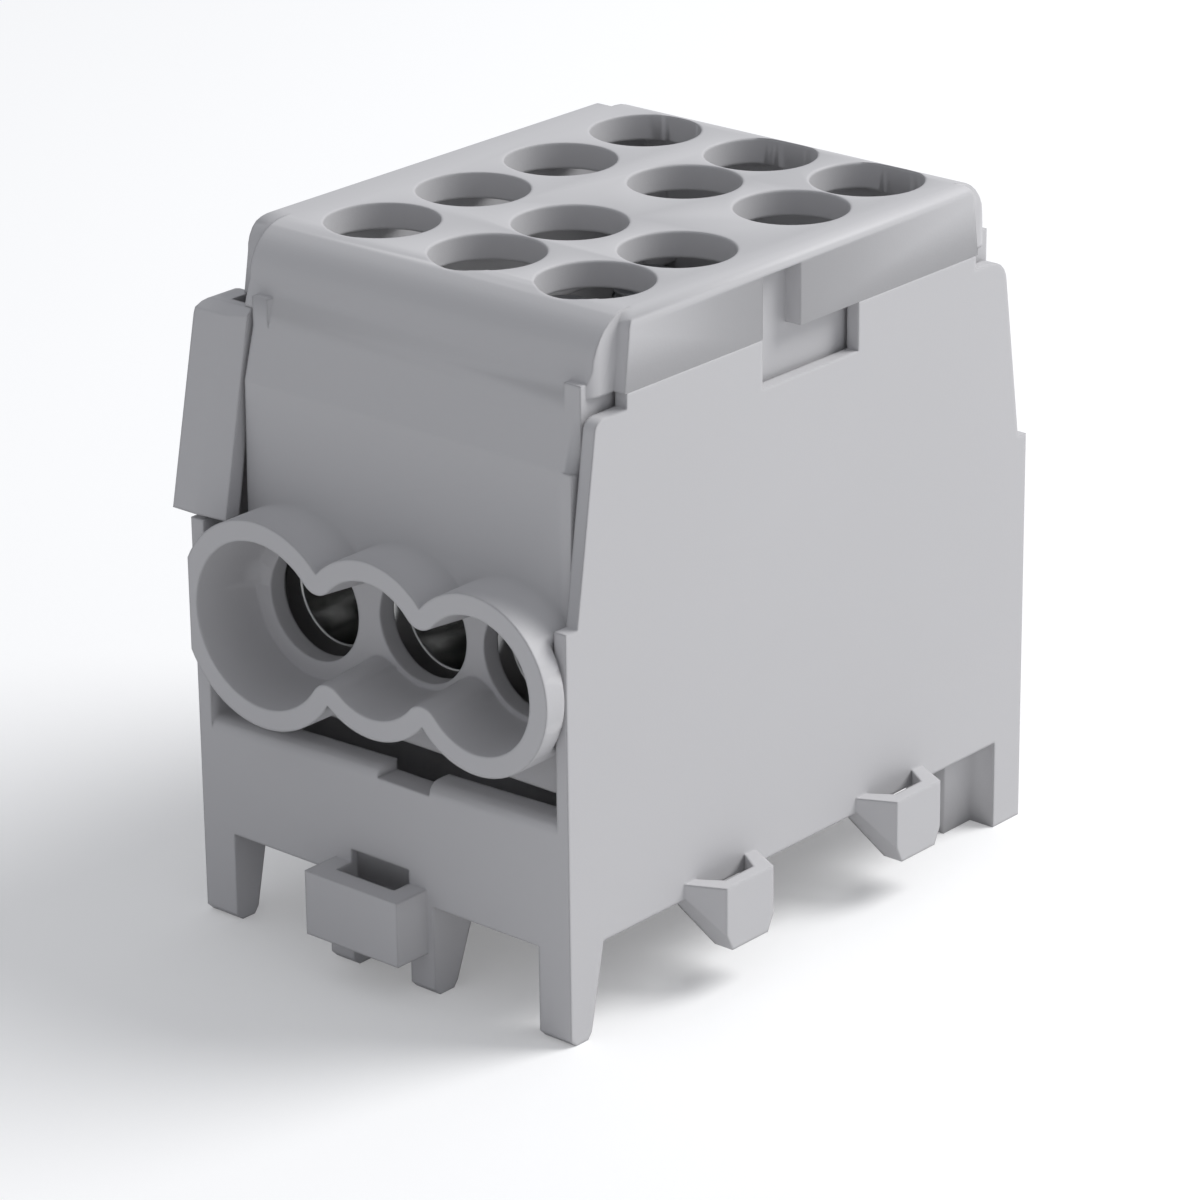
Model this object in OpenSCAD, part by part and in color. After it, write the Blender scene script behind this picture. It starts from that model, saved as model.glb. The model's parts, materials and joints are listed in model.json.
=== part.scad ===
// Single-pole power distribution block for a 35 mm mounting rail.
// A moulded housing and a snap-on cover enclose a tinned metal terminal bar
// with three conductor bores and twelve clamp screws. Millimetres, +Z up.

/* [Housing] */
// Width over the outer faces of the two side walls
block_w = 34.4; // [34.2:0.1:36]
// Depth over the low front and rear walls
block_d = 50; // [49:0.5:56]
// Height from the feet to the top of the cover
block_h = 50.2; // [49.6:0.2:54]
// Thickness of the left side wall
left_wall_t = 1.2; // [1:0.1:1.2]
// Thickness of the right side wall
right_wall_t = 1; // [0.8:0.1:1]
// Height of the underside that sits on the rail
seat_z = 6.75; // [6.25:0.25:7.5]
// Thickness of the housing floor
floor_t = 1.5; // [1:0.1:2.5]
// Height of the low front and rear walls
ledge_z = 15.8; // [14:0.2:16]
// Thickness of the low front and rear walls
ledge_t = 2; // [1.5:0.1:2.5]
// Height where the side walls step in from the front plane
step_z = 29.9; // [28:0.1:31]
// Height of the shoulder at the top front corner of a side wall
shoulder_z = 43.75; // [43:0.05:44]
// Height of the line where cover and housing meet
part_z = 44.8; // [44.6:0.1:45.4]

/* [Front lips] */
// How far the lips stand out beyond the left wall
wing_out = 1.75; // [1:0.05:2]
// Reach of the lips inwards from the left wall's outer face
lip_in = 3.1; // [2.8:0.1:3.2]
// Thickness of a lip, front to back
lip_t = 1.3; // [1.1:0.1:1.4]

/* [Feet] */
// Width of the left front foot
left_foot_w = 3; // [2.5:0.1:4]
// Width of the right front foot
right_foot_w = 2.8; // [2.5:0.1:4]
// Depth of the outer rear feet
rear_foot_d = 3.1; // [2.5:0.1:4]
// Depth of the inner rear feet
rear_inner_d = 6.3; // [5:0.1:6.6]
// Width of the outer rear feet
rear_foot_w = 2.1; // [1.8:0.1:3]
// Width of the inner rear feet
rear_inner_w = 3.2; // [2:0.1:4]
// Width of one inner leg beside the latch
leg_w = 2.2; // [1.8:0.1:3]
// Clear width between the two inner legs
leg_gap = 5.4; // [4.8:0.1:6.5]

/* [Strap loops] */
// How far the front strap stands out from the front wall
strap_out = 3; // [2.4:0.1:3.5]
// Width of the front strap
strap_w = 8.6; // [8:0.1:9.6]
// How far the two side straps stand out from the right wall
side_out = 2.7; // [2.4:0.1:3.2]
// Distance of each side strap from the middle of the block
side_strap_y = 9.4; // [9:0.1:11]
// Wall thickness of the straps
strap_t = 1; // [0.8:0.1:1.2]

/* [Cover] */
// Thickness of the cover's top plate
top_t = 1.9; // [1.5:0.1:2.4]
// Thickness of the cover's panels and sides
shell_t = 1.6; // [1.3:0.1:1.8]
// Radius of the rounding between top plate and panels
brow_r = 3.5; // [2.8:0.1:4]
// Diameter of the screw access holes
access_dia = 8.06; // [7:0.02:8.2]
// Gap between the cover's panels and the side walls
panel_gap = 0.35; // [0.3:0.05:0.5]

/* [Conductors] */
// Centre of the left conductor column from the left wall's outer face
left_x = 8.3; // [8.2:0.1:8.5]
// Centre of the middle conductor column
mid_x = 18.5; // [18.3:0.1:18.6]
// Centre of the right conductor column
right_x = 28.05; // [27.9:0.05:28.1]
// Height of the left conductor bore
left_z = 24.5; // [24.4:0.1:25]
// Height of the middle and right conductor bores
right_z = 25.3; // [25:0.1:25.5]
// Outer radius of the left cable funnel
left_funnel_r = 7.55; // [7.4:0.05:7.7]
// Outer radius of the middle and right cable funnels
funnel_r = 6.4; // [6.2:0.05:6.5]
// Wall thickness of the funnels at the rim
funnel_t = 1.5; // [1.4:0.05:1.6]
// How far the funnels stand out from the front plane
funnel_out = 2; // [1.6:0.1:2.4]
// Depth of the funnel recess from rim to ring
funnel_deep = 5.4; // [4.8:0.1:5.6]
// Radius of the left conductor opening in the ring
left_ring_r = 4.2; // [4:0.05:4.3]
// Radius of the other conductor openings
ring_r = 4; // [3.9:0.05:4.1]

/* [Terminal bar] */
// Diameter of the three conductor bores
bore_dia = 7.5; // [6.5:0.1:7.6]
// Height of the bar
bar_h = 20; // [18.5:0.1:20.5]
// Distance of the bar's ends from the front and rear planes
bar_inset = 6; // [5.8:0.1:6.4]

/* [Clamp screws] */
// Diameter of the clamp screws
screw_dia = 5; // [4:0.1:5.2]
// Length of a clamp screw
screw_len = 10; // [8:0.25:10.5]
// Width across flats of the screw's socket
socket_af = 2.5; // [2:0.1:3]
// Outer screw rows from the middle, left column
main_row_out = 13.8; // [13:0.1:14]
// Inner screw rows from the middle, left column
main_row_in = 4.6; // [4.2:0.1:4.9]
// Outer screw rows from the middle, other columns
row_out = 14.4; // [13.8:0.1:14.6]
// Inner screw rows from the middle, other columns
row_in = 6.05; // [5.4:0.05:6.5]

/* [Hidden] */

grey = [0.78, 0.78, 0.79];
tin = [0.80, 0.80, 0.79];
steel = [0.62, 0.63, 0.65];

$fn = 48;
past = 1;            // run of a cutter past the face it opens

// Middle of the bounding box, which becomes the origin
centre_x = (block_w + side_out - wing_out) / 2;
centre_y = (block_d - strap_out) / 2;
mid_y = block_d / 2;

// Side wall outline
step_in = 1.2;
shoulder_in = 3.1;
rear_step_in = 0.95;
rear_shoulder_in = 2.65;
rear_corner_r = 1.8;
riser_in = 6.3;
corner_r = 0.9;
foot_tip = 2.1;
foot_root = 3.4;
leg_tip = 2.3;
leg_root = 4.7;
foot_chamfer = 0.5;
ledge_rise = 2;

// Lips in front of the left wall
lip_top_y = 2.9;
lip_top_z = part_z - 0.05;
lip_z0 = step_z + 0.3;
lip_edge = 0.7;
lip_flat_x = 0.4;
lip_slant = 0.3;
wing_slack = 0.1;
lip_corner_r = 1.1;

// Latch and straps
latch_x = block_w / 2 - 0.1;
strap_z0 = 3.1;
strap_z1 = seat_z + 1.15;
strap_arm = 1.6;
strap_slot_y = 0.6;
side_root_w = 8.6;
side_tip_w = 5;
hook_z0 = 4.3;
hook_lip = 1.8;
rail_t = 1.2;
rail_w = 35;
rail_y0 = foot_root + 3.9;
rail_y1 = rail_y0 + rail_w;

// Cover body between the walls
body_x1 = block_w - right_wall_t - panel_gap;
panel_x0 = lip_in + panel_gap;
cap_x0 = 2.4;
cap_x1 = block_w - 0.95;
cap_corner_r = 1.1;
skirt_x0 = 0.4;
left_skirt_in = 5.6;
right_skirt_in = 6.1;
panel_y = 2.1;
panel_kink_y = 2.3;
panel_kink_z = 40;
panel_top_y = 3.6;
panel_z0 = 17.2;
cap_y = panel_top_y;
brow_y = 4.2;
panel_corner_r = 1;
left_skirt_r = 2.4;
right_skirt_r = 1.3;
edge_r = 0.8;
side_t = 1.4;

// Pry pocket in the right side
pocket_y0 = mid_y - 4.8;
pocket_y1 = mid_y + 5.5;
pocket_z0 = 41.3;
tongue_y0 = mid_y - 0.8;
notch_z1 = block_h - 1;

// Funnels and bar
ring_y = funnel_deep - funnel_out;
ring_t = 1.4;
taper = 0.5;
funnel_x0 = left_wall_t + 0.35;
rear_rim_y = 0.2;
funnel_x1 = block_w - right_wall_t - 0.2;
rim_back = 0.25;
bar_x0 = left_wall_t + 1.8;
bar_x1 = block_w - right_wall_t - 0.45;
bar_z0 = left_z - bore_dia / 2 - 2.95;
bar_z1 = bar_z0 + bar_h;
rib_in = 9;
rib_t = 1.6;
screw_z0 = right_z + bore_dia / 2 + 0.35;
screw_play = 0.05;
socket_deep = 4;
tip_h = 0.8;

cols = [[left_x, left_z, left_funnel_r, left_ring_r],
        [mid_x, right_z, funnel_r, ring_r],
        [right_x, right_z, funnel_r, ring_r]];
row_out_of = [main_row_out, row_out, row_out];
row_in_of = [main_row_in, row_in, row_in];
screw_xy = [for (c = [0:2], y = [-row_out_of[c], -row_in_of[c], row_in_of[c], row_out_of[c]])
            [cols[c][0], mid_y + y]];

// Move what is drawn from the housing's left front corner into the part frame.
module placed() {
    translate([-centre_x, -centre_y, 0]) children();
}

// Prism with an outline in Y and Z that runs from x0 to x1.
module along_x(x0, x1, outline) {
    translate([x0, 0, 0])
        rotate([90, 0, 90])
            linear_extrude(x1 - x0) polygon(outline);
}

// Prism with an outline in X and Z that runs from y0 to y1.
module along_y(y0, y1, outline) {
    translate([0, y1, 0])
        rotate([90, 0, 0])
            linear_extrude(y1 - y0) polygon(outline);
}

// Box between two corners.
module block(a, b) {
    translate(a) cube(b - a);
}

// Round bar or cone along Y.
module rod_y(x, z, y0, y1, r0, r1) {
    translate([x, y0, z])
        rotate([-90, 0, 0])
            cylinder(h = y1 - y0, r1 = r0, r2 = r1);
}

// The same shape at the front and, mirrored, at the rear.
module both_ends() {
    children();
    translate([0, block_d, 0]) mirror([0, 1, 0]) children();
}

// Points of an arc, for rounded corners in an outline.
function arc(c, r, a0, a1, n) =
    [for (i = [0:n]) c + r * [cos(a0 + (a1 - a0) * i / n), sin(a0 + (a1 - a0) * i / n)]];

// The same points on the rear half, in reverse order.
function rear(points) =
    [for (i = [len(points) - 1:-1:0]) [block_d - points[i][0], points[i][1]]];

// Upper half of a side wall: step, sloped edge, shoulder and riser.
function wall_front(step, shoulder, r) = concat(
    [[0, step_z], [step, step_z]],
    arc([shoulder + r, shoulder_z - r], r, 180, 90, 5),
    [[riser_in, shoulder_z], [riser_in, part_z]]);

function wall_outline() = concat(
    [[block_d, 0], [block_d - rear_foot_d, 0], [block_d - rear_foot_d, seat_z],
     [foot_root, seat_z], [foot_tip, foot_chamfer], [foot_tip - 0.4, 0],
     [foot_chamfer, 0], [0, foot_chamfer]],
    wall_front(step_in, shoulder_in, corner_r),
    rear(wall_front(rear_step_in, rear_shoulder_in, rear_corner_r)));

function foot_outline(tip, root) =
    [[0, foot_chamfer], [foot_chamfer, 0], [tip - 0.4, 0], [tip, foot_chamfer],
     [root, seat_z], [root, seat_z + floor_t / 2], [0, seat_z + floor_t / 2]];

function ledge_outline() = concat(
    [[ledge_t, 0], [0, 0]],
    arc([corner_r, ledge_z - corner_r], corner_r, 180, 90, 4),
    [[ledge_t, ledge_z]]);

// Front edge of a lip from its foot to its top, where the edge is chamfered.
function lip_rise() = [[lip_top_y + lip_edge, lip_top_z], [lip_top_y - 0.05, lip_top_z - lip_edge],
                       [0, lip_z0]];

function lip_outline() = concat(lip_rise(),
    [[lip_t + 0.3, lip_z0], [lip_top_y + lip_t, lip_top_z - lip_edge],
     [lip_top_y + lip_t, lip_top_z]]);

// The wing fills the step and shoulder in the wall of the next block.
function wing_outline() = concat(lip_rise(),
    [[step_in - wing_slack, lip_z0], [shoulder_in - wing_slack, shoulder_z - corner_r],
     [shoulder_in + corner_r - wing_slack, shoulder_z + wing_slack],
     [riser_in - wing_slack, shoulder_z + wing_slack], [riser_in - wing_slack, lip_top_z]]);

function lip_front() = concat(
    [[lip_in, lip_z0 - past], [-wing_out, lip_z0 - past]],
    arc([lip_corner_r - wing_out, lip_top_z - lip_corner_r], lip_corner_r, 180, 90, 4),
    [[lip_in, lip_top_z]]);

// Front half of the cover's top, seen from the side.
function cap_front(y, z, r, inset) = concat(
    [[y, part_z], [brow_y + inset, z - r]],
    arc([brow_y + inset + r, z - r], r, 180, 90, 8));

function cap_outline() =
    let (front = cap_front(cap_y, block_h, brow_r, 0)) concat(front, rear(front));

function cavity_outline() =
    let (front = cap_front(cap_y + shell_t, block_h - top_t, brow_r - shell_t, shell_t))
    concat([[cap_y + shell_t, part_z - past]], front, rear(front),
           [[block_d - cap_y - shell_t, part_z - past]]);

function skirt_outline(y, r) =
    let (front = concat([[y, part_z], [y + 0.5, block_h - r - 0.1]],
                        arc([y + 0.5 + r, block_h - r], r, 170, 90, 6)))
    concat(front, rear(front));

function cap_section() = concat(
    [[skirt_x0, part_z - past]],
    arc([skirt_x0 + edge_r, block_h - edge_r], edge_r, 180, 90, 5),
    arc([block_w - edge_r, block_h - edge_r], edge_r, 90, 0, 5),
    [[block_w, part_z - past]]);

function panel_outline() =
    [[panel_y, panel_z0], [panel_y, step_z], [panel_kink_y, panel_kink_z],
     [panel_top_y, part_z], [cap_y + 0.4, part_z + 1],
     [cap_y + shell_t, part_z + 1], [cap_y + shell_t, part_z],
     [panel_kink_y + shell_t, panel_kink_z], [panel_y + shell_t, step_z],
     [panel_y + shell_t, panel_z0]];

// Point where the outer circles of two neighbouring funnels cross, above or below.
function crossing(a, b, side) =
    let (d = [b[0] - a[0], b[1] - a[1]],
         l = norm(d),
         m = (a[2] * a[2] - b[2] * b[2] + l * l) / (2 * l),
         h = sqrt(a[2] * a[2] - m * m))
    [a[0], a[1]] + d * m / l + side * h * [-d[1], d[0]] / l;

module strap_loop() {
    x0 = latch_x - strap_w / 2;
    x1 = latch_x + strap_w / 2;
    difference() {
        block([x0, -strap_out, strap_z0], [x1, foot_chamfer, strap_z1]);
        block([x0 + strap_arm, strap_t + 0.5 - strap_out, strap_z0 - past],
              [x1 - strap_arm, foot_chamfer + past, strap_z1 + past]);
    }
}

module side_strap(y) {
    root = side_root_w / 2;
    tip = side_tip_w / 2;
    x0 = block_w - right_wall_t;
    x1 = block_w + side_out;
    translate([0, y, strap_z0])
        difference() {
            intersection() {
                linear_extrude(strap_z1 - strap_z0)
                    polygon([[x0, -root], [x1, -tip], [x1, tip], [x0, root]]);
                along_x(x0 - past, x1 + past,
                        [[0.6 - tip, 0], [tip - 0.6, 0], [root, strap_z1 - strap_z0],
                         [-root, strap_z1 - strap_z0]]);
            }
            translate([0, 0, -past])
                linear_extrude(strap_z1 - strap_z0 + 2 * past)
                    polygon([[x0 - past, strap_t - root], [x0, strap_t - root],
                             [x1 - strap_t, strap_t - tip], [x1 - strap_t, tip - strap_t],
                             [x0, root - strap_t], [x0 - past, root - strap_t]]);
        }
}

module feet() {
    along_x(0, left_foot_w, foot_outline(foot_tip, foot_root));
    along_x(block_w - right_foot_w, block_w, foot_outline(foot_tip, foot_root));
    for (side = [-1, 1])
        along_x(latch_x + side * (leg_gap + leg_w) / 2 - leg_w / 2,
                latch_x + side * (leg_gap + leg_w) / 2 + leg_w / 2,
                foot_outline(leg_tip, leg_root));
    for (x = [0, block_w - rear_foot_w])
        block([x, block_d - rear_foot_d, 0], [x + rear_foot_w, block_d, seat_z + floor_t / 2]);
    for (x = [rear_foot_w, block_w - rear_foot_w - rear_inner_w])
        block([x, block_d - rear_inner_d, 0],
              [x + rear_inner_w, block_d, seat_z + floor_t / 2]);
}

module rail_hooks() {
    x0 = latch_x - leg_gap / 2 - leg_w / 2;
    x1 = latch_x + leg_gap / 2 + leg_w / 2;
    block([x0, foot_root - 1, hook_z0], [x1, rail_y0, seat_z + floor_t / 2]);
    block([x0, foot_root, hook_z0], [x1, rail_y0 + hook_lip, seat_z - rail_t]);
    block([x0, rail_y1, hook_z0], [x1, rail_y1 + hook_lip, seat_z + floor_t / 2]);
    block([x0, rail_y1 - hook_lip, hook_z0], [x1, rail_y1 + hook_lip, seat_z - rail_t]);
}

module front_lip() {
    intersection() {
        union() {
            along_x(-wing_out, left_wall_t / 2, wing_outline());
            along_x(0, lip_in, lip_outline());
        }
        along_y(-past, riser_in, lip_front());
    }
}

// Slight slant of the lip's face towards the cover.
module lip_relief() {
    translate([0, 0, lip_z0 - past])
        rotate([-atan(lip_top_y / (lip_top_z - lip_z0)), 0, 0])
            linear_extrude(block_h / 2)
                polygon([[lip_flat_x, -2 * past], [lip_flat_x, -0.2 * past],
                         [lip_in + past, lip_slant * 1.4 - 0.2 * past], [lip_in + past, -2 * past]]);
}

module base() {
    color(grey)
        placed()
            difference() {
                union() {
                    block([0, 0, seat_z], [block_w, block_d, seat_z + floor_t]);
                    along_x(0, left_wall_t, wall_outline());
                    along_x(block_w - right_wall_t, block_w, wall_outline());
                    both_ends() ledge();
                    both_ends() front_lip();
                    both_ends()
                        block([left_wall_t / 2, rib_in, seat_z],
                              [block_w - right_wall_t / 2, rib_in + rib_t, bar_z0]);
                    feet();
                    rail_hooks();
                    strap_loop();
                    for (side = [-1, 1]) side_strap(mid_y + side * side_strap_y);
                }
                ledge_notch();
                pry_recess();
                strap_scoop();
                both_ends() lip_relief();
            }
}

// Low front or rear wall, its top rising a little to the right.
module ledge() {
    intersection() {
        translate([block_w / 2, 0, ledge_z])
            rotate([0, -ledge_rise, 0])
                translate([0, 0, -ledge_z])
                    along_x(-block_w, block_w, ledge_outline());
        block([0, 0, seat_z], [block_w, ledge_t, step_z]);
    }
}

// Shallow notch in the top of the front wall.
module ledge_notch() {
    block([latch_x, -past, ledge_z - 0.8], [latch_x + 4.8, ledge_t + past, ledge_z + past]);
}

// Opening in the right wall that takes a screwdriver to lever the cover off.
module pry_recess() {
    block([block_w - right_wall_t - past, pocket_y0, pocket_z0],
          [block_w + past, pocket_y1, part_z + past]);
}

// Recess in the front wall behind the front strap.
module strap_scoop() {
    block([latch_x - strap_w / 2 + strap_arm, -past, hook_z0 - past],
          [latch_x + strap_w / 2 - strap_arm, strap_slot_y, strap_z1 + past]);
}

module funnel_body() {
    difference() {
        for (c = cols) rod_y(c[0], c[1], -funnel_out, ring_y + ring_t, c[2], c[2]);
        block([-block_w, -funnel_out - past, 0], [funnel_x0, block_d, block_h]);
        block([funnel_x1, -rim_back, 0], [2 * block_w, block_d, block_h]);
    }
}

// Recess inside the three funnels: a constant wall follows the outer outline.
module funnel_recess() {
    y0 = -funnel_out;
    for (c = cols) {
        rod_y(c[0], c[1], y0, ring_y, c[2] - funnel_t, c[2] - funnel_t - taper);
        rod_y(c[0], c[1], y0 - past, y0, c[2] - funnel_t, c[2] - funnel_t);
        rod_y(c[0], c[1], y0, ring_y + ring_t + past, c[3], c[3]);
    }
    for (i = [0, 1]) {
        a = cols[i];
        b = cols[i + 1];
        up = crossing(a, b, 1);
        down = crossing(a, b, -1);
        difference() {
            along_y(y0 - past, ring_y, [[a[0], a[1]], up, [b[0], b[1]], down]);
            for (p = [up, down]) {
                rod_y(p[0], p[1], y0, ring_y + past, funnel_t, funnel_t + taper);
                rod_y(p[0], p[1], y0 - 2 * past, y0, funnel_t, funnel_t);
            }
        }
    }
}

// Upright prism that rounds the corners of the cover's top on the right.
module rounded_plan() {
    r = cap_corner_r;
    translate([0, 0, part_z - past])
        linear_extrude(block_h)
            polygon(concat([[cap_x0, cap_y]], arc([cap_x1 - r, cap_y + r], r, 270, 360, 6),
                           arc([cap_x1 - r, block_d - cap_y - r], r, 0, 90, 6),
                           [[cap_x0, block_d - cap_y]]));
}

// Cutter that rounds the upper right edge of a panel along its slope.
module panel_round() {
    r = panel_corner_r;
    lean = atan((panel_top_y - panel_kink_y) / (part_z - panel_kink_z));
    translate([body_x1, panel_kink_y, panel_kink_z])
        rotate([-lean, 0, 0])
            difference() {
                block([-r, -past, 0], [past, r, part_z - panel_kink_z + past]);
                translate([-r, r, -past])
                    cylinder(h = part_z - panel_kink_z + 3 * past, r = r);
            }
}

module cap() {
    difference() {
        intersection() {
            union() {
                intersection() {
                    along_x(cap_x0, cap_x1, cap_outline());
                    rounded_plan();
                }
                along_x(skirt_x0, block_w / 2, skirt_outline(left_skirt_in, left_skirt_r));
                along_x(block_w / 2, block_w, skirt_outline(right_skirt_in, right_skirt_r));
            }
            along_y(-past, block_d + past, cap_section());
        }
        along_x(cap_x0 + shell_t, cap_x1 - shell_t, cavity_outline());
        block([body_x1, pocket_y0, part_z - past], [block_w + past, tongue_y0, notch_z1]);
    }
}

module cover_sides() {
    for (x = [cap_x0, body_x1 - side_t])
        block([x, leg_root, bar_z1], [x + side_t, block_d - leg_root, part_z + past]);
    both_ends()
        block([cap_x0, leg_root, bar_z1], [panel_x0 + side_t, leg_root + side_t, part_z + past]);
    both_ends()
        block([panel_x0, panel_kink_y + 1, bar_z1],
              [panel_x0 + side_t, leg_root + side_t, part_z + past]);
    both_ends()
        block([body_x1 - side_t, panel_kink_y + 1, bar_z1],
              [body_x1, leg_root + side_t, part_z + past]);
}

module cover() {
    color(grey)
        placed()
            difference() {
                union() {
                    cap();
                    cover_sides();
                    both_ends()
                        difference() {
                            along_x(panel_x0, body_x1, panel_outline());
                            panel_round();
                        }
                    funnel_body();
                    translate([0, block_d, 0])
                        mirror([0, 1, 0])
                            difference() {
                                funnel_body();
                                block([-past, -funnel_out - past, 0],
                                      [block_w + past, rear_rim_y, block_h]);
                            }
                }
                both_ends() funnel_recess();
                for (p = screw_xy)
                    translate([p[0], p[1], block_h - top_t - past])
                        cylinder(h = top_t + 2 * past, d = access_dia);
            }
}

module terminal_bar() {
    color(tin)
        placed()
            difference() {
                block([bar_x0, bar_inset, bar_z0], [bar_x1, block_d - bar_inset, bar_z1]);
                for (c = cols)
                    rod_y(c[0], c[1], bar_inset - past, block_d - bar_inset + past,
                          bore_dia / 2, bore_dia / 2);
                for (p = screw_xy)
                    translate([p[0], p[1], right_z])
                        cylinder(h = bar_z1 - right_z + past, d = screw_dia + 2 * screw_play);
            }
}

module clamp_screw(i) {
    color(steel)
        placed()
            translate([screw_xy[i][0], screw_xy[i][1], screw_z0])
                difference() {
                    union() {
                        cylinder(h = tip_h, d1 = screw_dia - 1.6, d2 = screw_dia, $fn = 36);
                        translate([0, 0, tip_h])
                            cylinder(h = screw_len - tip_h, d = screw_dia, $fn = 36);
                    }
                    translate([0, 0, screw_len - socket_deep])
                        cylinder(h = socket_deep + past, d = socket_af / cos(30), $fn = 6);
                }
}

base();
cover();
terminal_bar();
clamp_screw(0);  // clamp_screw_01
clamp_screw(1);  // clamp_screw_02
clamp_screw(2);  // clamp_screw_03
clamp_screw(3);  // clamp_screw_04
clamp_screw(4);  // clamp_screw_05
clamp_screw(5);  // clamp_screw_06
clamp_screw(6);  // clamp_screw_07
clamp_screw(7);  // clamp_screw_08
clamp_screw(8);  // clamp_screw_09
clamp_screw(9);  // clamp_screw_10
clamp_screw(10);  // clamp_screw_11
clamp_screw(11);  // clamp_screw_12
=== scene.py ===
import json
import math

import bpy
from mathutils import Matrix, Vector

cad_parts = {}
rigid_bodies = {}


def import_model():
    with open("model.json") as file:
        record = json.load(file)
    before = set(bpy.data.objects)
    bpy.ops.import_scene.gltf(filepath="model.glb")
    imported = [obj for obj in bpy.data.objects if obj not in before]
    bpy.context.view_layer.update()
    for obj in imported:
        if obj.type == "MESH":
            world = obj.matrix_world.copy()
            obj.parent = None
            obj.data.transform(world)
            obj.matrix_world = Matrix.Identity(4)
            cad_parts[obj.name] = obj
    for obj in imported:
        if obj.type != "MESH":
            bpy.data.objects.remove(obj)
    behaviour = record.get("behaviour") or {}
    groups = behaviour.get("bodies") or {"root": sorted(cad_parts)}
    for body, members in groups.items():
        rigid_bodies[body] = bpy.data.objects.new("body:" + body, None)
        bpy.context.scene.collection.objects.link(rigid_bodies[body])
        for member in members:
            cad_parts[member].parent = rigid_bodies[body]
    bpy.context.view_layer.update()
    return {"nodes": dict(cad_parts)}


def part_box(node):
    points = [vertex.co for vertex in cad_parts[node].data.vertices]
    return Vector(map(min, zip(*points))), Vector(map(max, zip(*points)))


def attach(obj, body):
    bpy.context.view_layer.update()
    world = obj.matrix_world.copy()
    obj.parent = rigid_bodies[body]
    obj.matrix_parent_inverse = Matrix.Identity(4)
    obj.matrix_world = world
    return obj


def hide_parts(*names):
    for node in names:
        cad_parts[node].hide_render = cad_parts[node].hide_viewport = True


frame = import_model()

nodes = frame["nodes"]

# ---------------------------------------------------------------- setting
# The block stands on a white studio floor. One broad soft lamp, high up behind
# its right side, lights the top and the right wall. The front is lit by the
# room alone and stays darker.

bpy.ops.object.select_all(action="DESELECT")
bpy.ops.object.camera_add(location=(0.222322, -0.254730, 0.155364),
                          rotation=(1.192391, 0.011142, 0.715015))
camera = bpy.context.active_object
camera.name = "camera"
camera.data.sensor_width = 36
camera.data.lens = 154.31
camera.data.clip_start = 0.01
bpy.context.scene.view_settings.view_transform = "Standard"
bpy.context.scene.camera = camera

bpy.ops.mesh.primitive_plane_add(size=6, location=(0, 0, 0))
floor = bpy.context.active_object
floor.name = "studio_floor"

floor_finish = bpy.data.materials.new("studio_white")
floor_finish.use_nodes = True
tree = floor_finish.node_tree
tree.nodes.clear()
out = tree.nodes.new("ShaderNodeOutputMaterial")
seen = tree.nodes.new("ShaderNodeLightPath")
matt = tree.nodes.new("ShaderNodeBsdfDiffuse")
matt.inputs["Color"].default_value = (0.80, 0.80, 0.80, 1)
glow = tree.nodes.new("ShaderNodeEmission")
glow.inputs["Color"].default_value = (1, 1, 1, 1)
glow.inputs["Strength"].default_value = 0.193
lit = tree.nodes.new("ShaderNodeAddShader")
tree.links.new(matt.outputs[0], lit.inputs[0])
tree.links.new(glow.outputs[0], lit.inputs[1])
pick = tree.nodes.new("ShaderNodeMixShader")
tree.links.new(seen.outputs["Is Camera Ray"], pick.inputs[0])
tree.links.new(matt.outputs[0], pick.inputs[1])
tree.links.new(lit.outputs[0], pick.inputs[2])
tree.links.new(pick.outputs[0], out.inputs["Surface"])
floor.data.materials.append(floor_finish)

world = bpy.data.worlds.new("studio_air")
bpy.context.scene.world = world
world.use_nodes = True
tree = world.node_tree
tree.nodes.clear()
out = tree.nodes.new("ShaderNodeOutputWorld")
seen = tree.nodes.new("ShaderNodeLightPath")
soft = tree.nodes.new("ShaderNodeBackground")
soft.inputs["Color"].default_value = (0.93, 0.95, 1.0, 1)
soft.inputs["Strength"].default_value = 0.492
bright = tree.nodes.new("ShaderNodeBackground")
bright.inputs["Color"].default_value = (1, 1, 1, 1)
bright.inputs["Strength"].default_value = 1.0
pick = tree.nodes.new("ShaderNodeMixShader")
tree.links.new(seen.outputs["Is Camera Ray"], pick.inputs[0])
tree.links.new(soft.outputs[0], pick.inputs[1])
tree.links.new(bright.outputs[0], pick.inputs[2])
tree.links.new(pick.outputs[0], out.inputs["Surface"])


lamp_place = Vector((0.35, 0.45, 0.60))
block_middle = Vector((0, 0, 0.025))
bpy.ops.object.light_add(type="AREA", location=lamp_place)
lamp = bpy.context.active_object
lamp.name = "lamp_above"
lamp.data.shape = "DISK"
lamp.data.size = 0.5
lamp.data.energy = 5.6
lamp.rotation_euler = (block_middle - lamp_place).to_track_quat("-Z", "Y").to_euler()

# ---------------------------------------------------------------- housing
# The housing is one moulding in light grey polyamide with a fine satin
# texture. Its edges keep the CAD piece's shape and are softened in the finish.


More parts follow.
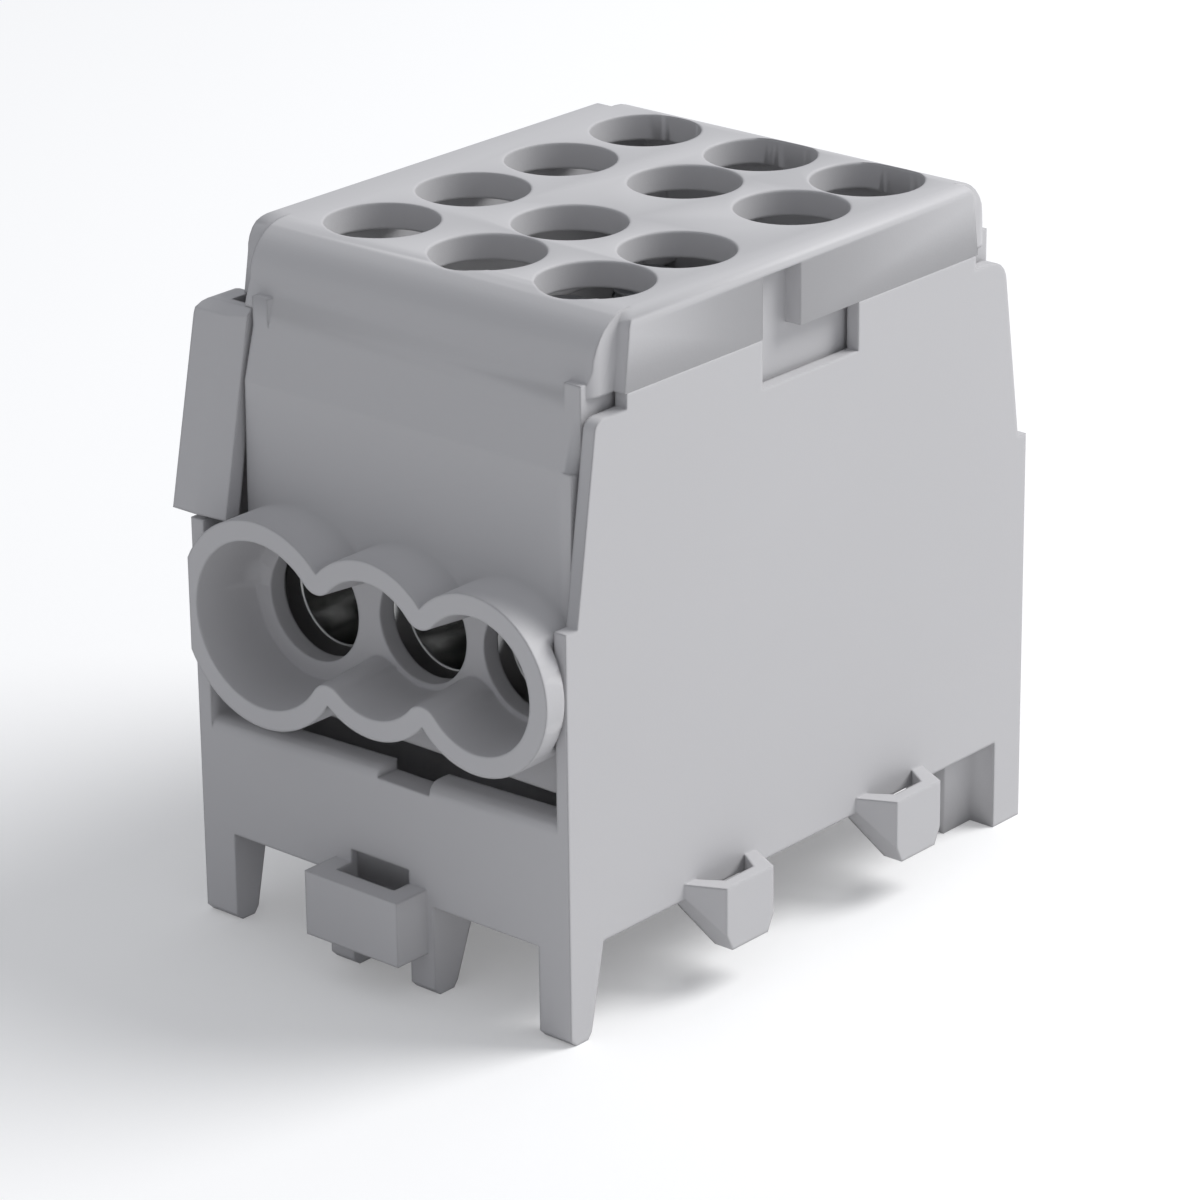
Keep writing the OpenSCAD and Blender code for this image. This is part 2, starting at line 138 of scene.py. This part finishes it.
class Wire:
    """A shader socket or a number that can be used in sums."""

    def __init__(self, tree, value):
        self.tree = tree
        self.value = value

    def node(self, kind, settings=None, output=0, **sockets):
        made = self.tree.nodes.new(kind)
        for name, value in (settings or {}).items():
            setattr(made, name, value)
        for name, value in sockets.items():
            key = int(name[1:]) if name[0] == "_" and name[1:].isdigit() else name.replace("_", " ")
            value = value.value if isinstance(value, Wire) else value
            if isinstance(value, bpy.types.NodeSocket):
                self.tree.links.new(value, made.inputs[key])
            else:
                made.inputs[key].default_value = value
        return Wire(self.tree, made.outputs[output])

    def sum(self, operation, a, b):
        return self.node("ShaderNodeMath", {"operation": operation}, _0=a, _1=b)

    def __add__(self, other):
        return self.sum("ADD", self, other)

    def __radd__(self, other):
        return self.sum("ADD", other, self)

    def __rmul__(self, other):
        return self.sum("MULTIPLY", other, self)


def shade_on(material):
    """A Wire on the piece's own coordinates, and the material's main shader."""
    material.use_nodes = True
    tree = material.node_tree
    shader = tree.nodes["Principled BSDF"]
    place = tree.nodes.new("ShaderNodeTexCoord")
    return Wire(tree, place.outputs["Object"]), shader


def moulded_plastic(name, colour):
    material = bpy.data.materials.new(name)
    place, shader = shade_on(material)
    tree = material.node_tree
    flow = place.node("ShaderNodeTexNoise", Vector=place, Scale=38.0, Detail=3.0, Roughness=0.5)
    grain = place.node("ShaderNodeTexNoise", Vector=place, Scale=5200.0, Detail=2.0, Roughness=0.6)
    fleck = place.node("ShaderNodeTexNoise", Vector=place, Scale=900.0, Detail=4.0, Roughness=0.65)
    tone = place.node("ShaderNodeMix", {"data_type": "RGBA"}, output=2,
                      _0=flow, _6=(*[c * 0.97 for c in colour], 1), _7=(*[c * 1.03 for c in colour], 1))
    tree.links.new(tone.value, shader.inputs["Base Color"])
    rough = 0.42 + 0.10 * fleck + 0.06 * flow
    tree.links.new(rough.value, shader.inputs["Roughness"])
    softened = place.node("ShaderNodeBevel", {"samples": 6}, Radius=0.0003)
    bump = place.node("ShaderNodeBump", Height=grain + 0.5 * fleck, Normal=softened,
                      Strength=0.12, Distance=0.00004)
    tree.links.new(bump.value, shader.inputs["Normal"])
    shader.inputs["IOR"].default_value = 1.49
    return material


def merged_copy(node, name):
    """The CAD piece's own shape as one clean mesh that can be rounded."""
    bpy.ops.object.select_all(action="DESELECT")
    nodes[node].select_set(True)
    bpy.context.view_layer.objects.active = nodes[node]
    bpy.ops.object.duplicate()
    piece = bpy.context.active_object
    piece.name = name
    bpy.ops.object.parent_clear(type="CLEAR_KEEP_TRANSFORM")
    bpy.ops.object.transform_apply(location=True, rotation=True, scale=True)
    bpy.ops.object.mode_set(mode="EDIT")
    bpy.ops.mesh.select_all(action="SELECT")
    bpy.ops.mesh.remove_doubles(threshold=0.000002)
    bpy.ops.mesh.dissolve_limited(angle_limit=math.radians(0.4))
    bpy.ops.object.mode_set(mode="OBJECT")
    return piece


def round_edges(piece, width, segments, chosen):
    """Round the sharp edges whose two ends both pass the test."""
    mesh = piece.data
    facing = {}
    for face in mesh.polygons:
        for key in face.edge_keys:
            facing.setdefault(key, []).append(face.normal.copy())
    weight = mesh.attributes.get("bevel_weight_edge")
    weight = weight or mesh.attributes.new("bevel_weight_edge", "FLOAT", "EDGE")
    for edge in mesh.edges:
        sides = facing.get(tuple(sorted(edge.vertices)), [])
        ends = [mesh.vertices[i].co for i in edge.vertices]
        sharp = len(sides) == 2 and sides[0].angle(sides[1], 0.0) > math.radians(30)
        weight.data[edge.index].value = 1.0 if sharp and all(chosen(e) for e in ends) else 0.0
    soften = piece.modifiers.new("soft_edges", "BEVEL")
    soften.width = width
    soften.segments = segments
    soften.limit_method = "WEIGHT"
    bpy.context.view_layer.objects.active = piece
    bpy.ops.object.modifier_apply(modifier=soften.name)


def smooth(piece, finish):
    """Shade the rounded stretches smooth and give the piece its one finish."""
    bpy.ops.object.select_all(action="DESELECT")
    piece.select_set(True)
    bpy.context.view_layer.objects.active = piece
    bpy.ops.object.shade_smooth_by_angle(angle=math.radians(30))
    piece.data.materials.clear()
    piece.data.materials.append(finish)


housing = merged_copy("base", "housing")
smooth(housing, moulded_plastic("housing_grey", (0.53, 0.525, 0.535)))
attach(housing, "block")
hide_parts("base")

# ---------------------------------------------------------------- cover
# The cover is a second moulding in the same grey. It snaps down between the
# side walls, and its front and rear panels carry the cable funnels. Only the
# top rims of the screwdriver holes are rounded in the mesh.

screw_boxes = [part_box("clamp_screw_%02d" % number) for number in range(1, 13)]
screw_axes = [((low[0] + high[0]) / 2, (low[1] + high[1]) / 2) for low, high in screw_boxes]
cover_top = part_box("cover")[1][2]
access_r = 0.00403
rim_near = 0.00008
height_near = 0.00002
wide_web_rim = 0.00035
narrow_web_rim = 0.00013
left_column_edge = -0.005


def on_access_rim(axes):
    """A test for points on the top rims of the screwdriver holes over these axes."""
    def test(point):
        if abs(point.z - cover_top) > height_near:
            return False
        return any(abs(math.hypot(point.x - x, point.y - y) - access_r) < rim_near for x, y in axes)
    return test


cap = merged_copy("cover", "cap")
left_axes = [axis for axis in screw_axes if axis[0] < left_column_edge]
other_axes = [axis for axis in screw_axes if axis[0] >= left_column_edge]
round_edges(cap, wide_web_rim, 3, on_access_rim(left_axes))
round_edges(cap, narrow_web_rim, 2, on_access_rim(other_axes))
smooth(cap, moulded_plastic("cover_grey", (0.535, 0.53, 0.54)))
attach(cap, "block")
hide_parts("cover")

# ---------------------------------------------------------------- terminal bar
# A solid metal bar with a bright tin plating, bored through for the
# conductors and tapped from above for the clamp screws.


def plated_metal(name, colour, smoothest, roughest):
    material = bpy.data.materials.new(name)
    place, shader = shade_on(material)
    tree = material.node_tree
    cloud = place.node("ShaderNodeTexNoise", Vector=place, Scale=260.0, Detail=4.0, Roughness=0.6)
    tooling = place.node("ShaderNodeTexNoise", Vector=place, Scale=2400.0, Detail=2.0, Roughness=0.5)
    tone = place.node("ShaderNodeMix", {"data_type": "RGBA"}, output=2,
                      _0=cloud, _6=(*[c * 0.93 for c in colour], 1), _7=(*colour, 1))
    tree.links.new(tone.value, shader.inputs["Base Color"])
    rough = smoothest + (roughest - smoothest) * cloud
    tree.links.new(rough.value, shader.inputs["Roughness"])
    softened = place.node("ShaderNodeBevel", {"samples": 6}, Radius=0.0003)
    bump = place.node("ShaderNodeBump", Height=tooling, Normal=softened,
                      Strength=0.1, Distance=0.00002)
    tree.links.new(bump.value, shader.inputs["Normal"])
    shader.inputs["Metallic"].default_value = 1.0
    return material


bar = merged_copy("terminal_bar", "bar")
smooth(bar, plated_metal("tin_plate", (0.72, 0.72, 0.71), 0.14, 0.30))
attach(bar, "block")
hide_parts("terminal_bar")

# ---------------------------------------------------------------- clamp screws
# Twelve zinc plated set screws with a hexagon socket clamp the conductors.
# One is modelled with its thread, tip and socket; the others are copies.

zinc_steel = plated_metal("zinc_steel", (0.50, 0.51, 0.53), 0.22, 0.40)
low, high = screw_boxes[0]
screw_r = (high[0] - low[0]) / 2
screw_h = high[2] - low[2]
tip_h = 0.0008
tip_r = screw_r * 0.62
edge_h = 0.0003
groove_r = screw_r - 0.00035
pitch = 0.0008
socket_af = 0.0025
socket_h = 0.004

bpy.ops.object.select_all(action="DESELECT")
bpy.ops.mesh.primitive_circle_add(vertices=48, radius=tip_r, fill_type="NGON", location=(0, 0, 0))
master = bpy.context.active_object
master.name = "set_screw"
bpy.ops.object.mode_set(mode="EDIT")
bpy.ops.mesh.select_all(action="SELECT")
turns = int((screw_h - tip_h - edge_h) / pitch)
run = (screw_h - tip_h - edge_h) / turns
steps = [(tip_h, screw_r)]
for turn in range(turns):
    steps += [(run * 0.2, screw_r), (run * 0.3, groove_r), (run * 0.2, groove_r), (run * 0.3, screw_r)]
steps += [(edge_h, screw_r - edge_h)]
height = 0.0
radius = tip_r
for rise, wide in steps:
    height += rise
    bpy.ops.mesh.extrude_region_move(TRANSFORM_OT_translate={"value": (0, 0, rise)})
    grow = wide / radius
    bpy.ops.transform.resize(value=(grow, grow, 1), center_override=(0, 0, height))
    radius = wide
bpy.ops.mesh.select_all(action="SELECT")
bpy.ops.mesh.normals_make_consistent(inside=False)
bpy.ops.object.mode_set(mode="OBJECT")

bpy.ops.mesh.primitive_cylinder_add(vertices=6, radius=socket_af / math.sqrt(3), depth=socket_h * 2,
                                    location=(0, 0, screw_h))
driver = bpy.context.active_object
cut = master.modifiers.new("socket", "BOOLEAN")
cut.operation = "DIFFERENCE"
cut.solver = "EXACT"
cut.object = driver
bpy.context.view_layer.objects.active = master
bpy.ops.object.modifier_apply(modifier=cut.name)
bpy.data.objects.remove(driver, do_unlink=True)
smooth(master, zinc_steel)

for number, (low, high) in enumerate(screw_boxes, 1):
    bpy.ops.object.select_all(action="DESELECT")
    master.select_set(True)
    bpy.context.view_layer.objects.active = master
    bpy.ops.object.duplicate()
    screw = bpy.context.active_object
    screw.name = "set_screw_%02d" % number
    x, y = screw_axes[number - 1]
    screw.location = (x, y, low[2])
    bpy.ops.object.transform_apply(location=True, rotation=True, scale=True)
    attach(screw, "screw_%02d" % number)
    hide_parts("clamp_screw_%02d" % number)
bpy.data.objects.remove(master, do_unlink=True)
